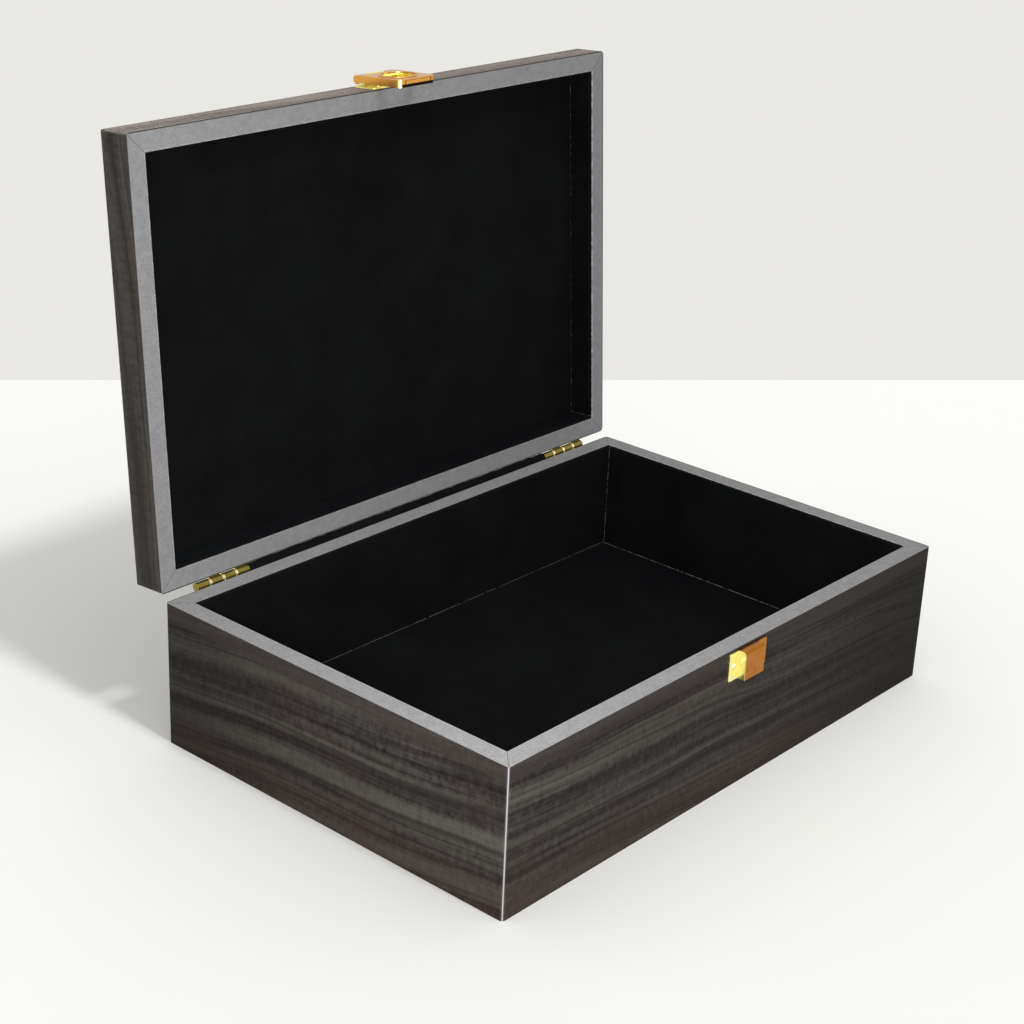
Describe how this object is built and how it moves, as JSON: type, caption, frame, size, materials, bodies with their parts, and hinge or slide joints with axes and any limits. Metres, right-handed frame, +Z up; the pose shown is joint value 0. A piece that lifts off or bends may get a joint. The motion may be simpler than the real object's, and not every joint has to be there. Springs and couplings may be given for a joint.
{
  "type": "hinged display case",
  "caption": "Hinged wooden presentation box with mitred laminated boards, black velvet lining and a brass hasp, shown with its framed lid open.",
  "frame": {"origin": "centre of the base's flat underside", "axes": "+Z up, +X to the right along the long side as seen from the front, -Y towards the front with the latch; the lid is open at rest"},
  "size_m": [0.3, 0.238, 0.2757],
  "materials": {
    "wood": "dark wood-grain laminate, grey painted rims, satin",
    "velvet": "short black velvet on card",
    "brass": "bright gold-coloured plate"
  },
  "bodies": {
    "base": {"base_front_wall": "wood", "base_back_wall": "wood", "base_left_wall": "wood", "base_right_wall": "wood", "base_floor_board": "wood", "base_floor_pad": "velvet", "base_front_liner": "velvet", "base_back_liner": "velvet", "base_left_liner": "velvet", "base_right_liner": "velvet", "left_hinge_base_leaf": "brass", "right_hinge_base_leaf": "brass", "left_hinge_pin": "brass", "right_hinge_pin": "brass", "hinge_base_nails": "brass", "catch": "brass", "catch_nails": "brass"},
    "lid": {"lid_front_rail": "wood", "lid_back_rail": "wood", "lid_left_rail": "wood", "lid_right_rail": "wood", "lid_top_board": "wood", "lid_top_liner": "velvet", "lid_front_liner": "velvet", "lid_back_liner": "velvet", "lid_left_liner": "velvet", "lid_right_liner": "velvet", "left_hinge_lid_leaf": "brass", "right_hinge_lid_leaf": "brass", "hinge_lid_nails": "brass", "hasp_plate": "brass", "hasp_pin": "brass", "hasp_nails": "brass"},
    "hasp": {"hasp_flap": "brass"}
  },
  "joints": [
    {"name": "lid_hinge", "type": "hinge", "parent": "base", "child": "lid", "pos_m": [0, 0.1019, 0.0682], "axis": [1, 0, 0], "range_deg": [0, 94]},
    {"name": "hasp_hinge", "type": "hinge", "parent": "lid", "child": "hasp", "pos_m": [0.002, 0.12876, 0.27167], "axis": [-1, 0, 0], "range_deg": [0, 170]}
  ]
}
